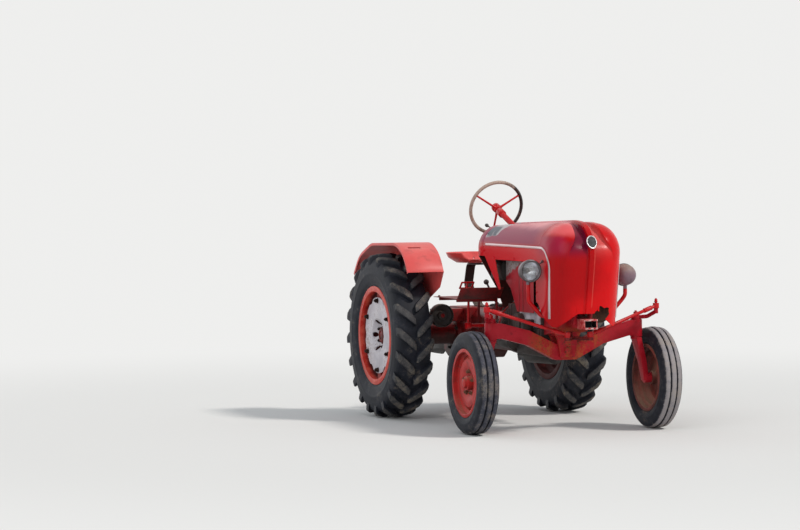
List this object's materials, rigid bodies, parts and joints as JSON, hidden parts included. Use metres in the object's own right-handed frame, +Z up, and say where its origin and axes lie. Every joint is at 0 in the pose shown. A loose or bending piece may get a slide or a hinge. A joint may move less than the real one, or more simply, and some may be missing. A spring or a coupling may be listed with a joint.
{
  "type": "farm tractor",
  "caption": "Small two-wheel-drive farm tractor with a tilting sheet bonnet, open steel seat, ribbed front tyres on a dropped axle and large lugged rear tyres.",
  "frame": {"origin": "on the ground under the middle of the whole machine; the rear axle's centre line is 715 mm behind it and the front axle's 865 mm in front of it", "axes": "+X forward, +Y to the driver's left, +Z up"},
  "size_m": [2.6974, 1.522, 1.608],
  "materials": {
    "bonnet_red": "worn gloss red",
    "chassis_red": "dull red, oily",
    "guard_red": "faded coral red",
    "axle_red": "worn gloss red",
    "rim_red": "weathered red",
    "disc_white": "dusty off-white",
    "front_rim": "dusty red",
    "tyre": "dusty rubber",
    "engine": "dark oily cast iron",
    "sheet_red": "faded red sheet",
    "steel": "worn bare steel",
    "dark_steel": "dark, rusty and oily",
    "chrome": "dull chrome",
    "lamp_brown": "dull brown-grey",
    "wheel_rim": "cracked cream rim"
  },
  "bodies": {
    "chassis": {"lamp_left": "lamp_brown", "lamp_right": "chrome", "rear_axle_case": "chassis_red", "gearbox_tunnel": "chassis_red", "hitch_frame": "dark_steel", "tow_jaw": "dark_steel", "crankcase": "engine", "cylinders": "engine", "air_guide": "sheet_red", "fan_housing": "engine", "exhaust_pipe": "dark_steel", "starter": "dark_steel", "oil_filter": "engine", "dynamo": "dark_steel", "front_carrier": "axle_red", "front_axle": "axle_red", "tow_clevis": "axle_red", "steering_column": "axle_red", "steering_box": "chassis_red", "fuel_tank": "dark_steel", "dash_cowl": "bonnet_red", "pedals": "axle_red", "gear_levers": "dark_steel", "seat_pan": "guard_red", "seat_spring": "dark_steel", "pulley_drive": "chassis_red", "lamp_arm_left": "axle_red", "lamp_arm_right": "axle_red", "mudguard_left": "guard_red", "mudguard_right": "guard_red", "footplate_left": "chassis_red", "footplate_right": "chassis_red"},
    "hood": {"hood": "bonnet_red", "hood_trim": "chrome"},
    "steering_wheel": {"steering_wheel": "wheel_rim"},
    "steering_crank": {"steering_crank": "dark_steel"},
    "side_pulley": {"side_pulley": "steel"},
    "knuckle_left": {"knuckle_left": "axle_red"},
    "tie_rod_left": {"tie_rod_left": "axle_red"},
    "front_wheel_left": {"front_tyre_left": "tyre", "front_rim_left": "front_rim"},
    "rear_wheel_left": {"rear_tyre_left": "tyre", "rear_rim_left": "rim_red", "rear_disc_left": "disc_white", "rear_hub_left": "rim_red"},
    "knuckle_right": {"knuckle_right": "axle_red"},
    "tie_rod_right": {"tie_rod_right": "axle_red"},
    "front_wheel_right": {"front_tyre_right": "tyre", "front_rim_right": "front_rim"},
    "rear_wheel_right": {"rear_tyre_right": "tyre", "rear_rim_right": "rim_red", "rear_disc_right": "disc_white", "rear_hub_right": "rim_red"}
  },
  "joints": [
    {"name": "bonnet_hinge", "type": "hinge", "parent": "chassis", "child": "hood", "pos_m": [1.237, 0, 0.802], "axis": [0, 1, 0], "range_deg": [0, 60]},
    {"name": "steering_wheel_turn", "type": "hinge", "parent": "chassis", "child": "steering_wheel", "pos_m": [-0.319, 0, 1.425], "axis": [-0.9397, 0, 0.342], "range_deg": [-390, 390]},
    {"name": "steering_crank_turn", "type": "hinge", "parent": "chassis", "child": "steering_crank", "pos_m": [0.975, 0, 0.634], "axis": [0, 0, 1], "range_deg": [-32.5, 32.5]},
    {"name": "steer_left", "type": "hinge", "parent": "chassis", "child": "knuckle_left", "pos_m": [0.865, 0.505, 0.655], "axis": [0, 0, 1], "range_deg": [-32, 32]},
    {"name": "tie_rod_left_eye", "type": "hinge", "parent": "steering_crank", "child": "tie_rod_left", "pos_m": [1.115, 0.08, 0.634], "axis": [0, 0, 1], "range_deg": [-32.5, 32.5]},
    {"name": "front_wheel_left_spin", "type": "hinge", "parent": "knuckle_left", "child": "front_wheel_left", "pos_m": [0.865, 0.63, 0.33], "axis": [0, 1, 0], "continuous": true},
    {"name": "rear_wheel_left_spin", "type": "hinge", "parent": "chassis", "child": "rear_wheel_left", "pos_m": [-0.715, 0.63, 0.56], "axis": [0, 1, 0], "continuous": true},
    {"name": "steer_right", "type": "hinge", "parent": "chassis", "child": "knuckle_right", "pos_m": [0.865, -0.505, 0.655], "axis": [0, 0, 1], "range_deg": [-32.5, 32.5]},
    {"name": "tie_rod_right_eye", "type": "hinge", "parent": "steering_crank", "child": "tie_rod_right", "pos_m": [1.115, -0.08, 0.634], "axis": [0, 0, 1], "range_deg": [-32.5, 32.5]},
    {"name": "front_wheel_right_spin", "type": "hinge", "parent": "knuckle_right", "child": "front_wheel_right", "pos_m": [0.865, -0.63, 0.33], "axis": [0, 1, 0], "continuous": true},
    {"name": "rear_wheel_right_spin", "type": "hinge", "parent": "chassis", "child": "rear_wheel_right", "pos_m": [-0.715, -0.63, 0.56], "axis": [0, 1, 0], "continuous": true},
    {"name": "belt_pulley_spin", "type": "hinge", "parent": "chassis", "child": "side_pulley", "pos_m": [-0.51, -0.33, 0.695], "axis": [1, 0, 0], "continuous": true}
  ],
  "couplings": [
    {"joint": "steer_right", "follows": "steer_left", "ratio": 1},
    {"joint": "steering_crank_turn", "follows": "steer_left", "ratio": 1},
    {"joint": "steering_wheel_turn", "follows": "steer_left", "ratio": 12},
    {"joint": "tie_rod_left_eye", "follows": "steer_left", "ratio": -1},
    {"joint": "tie_rod_right_eye", "follows": "steer_left", "ratio": -1}
  ]
}
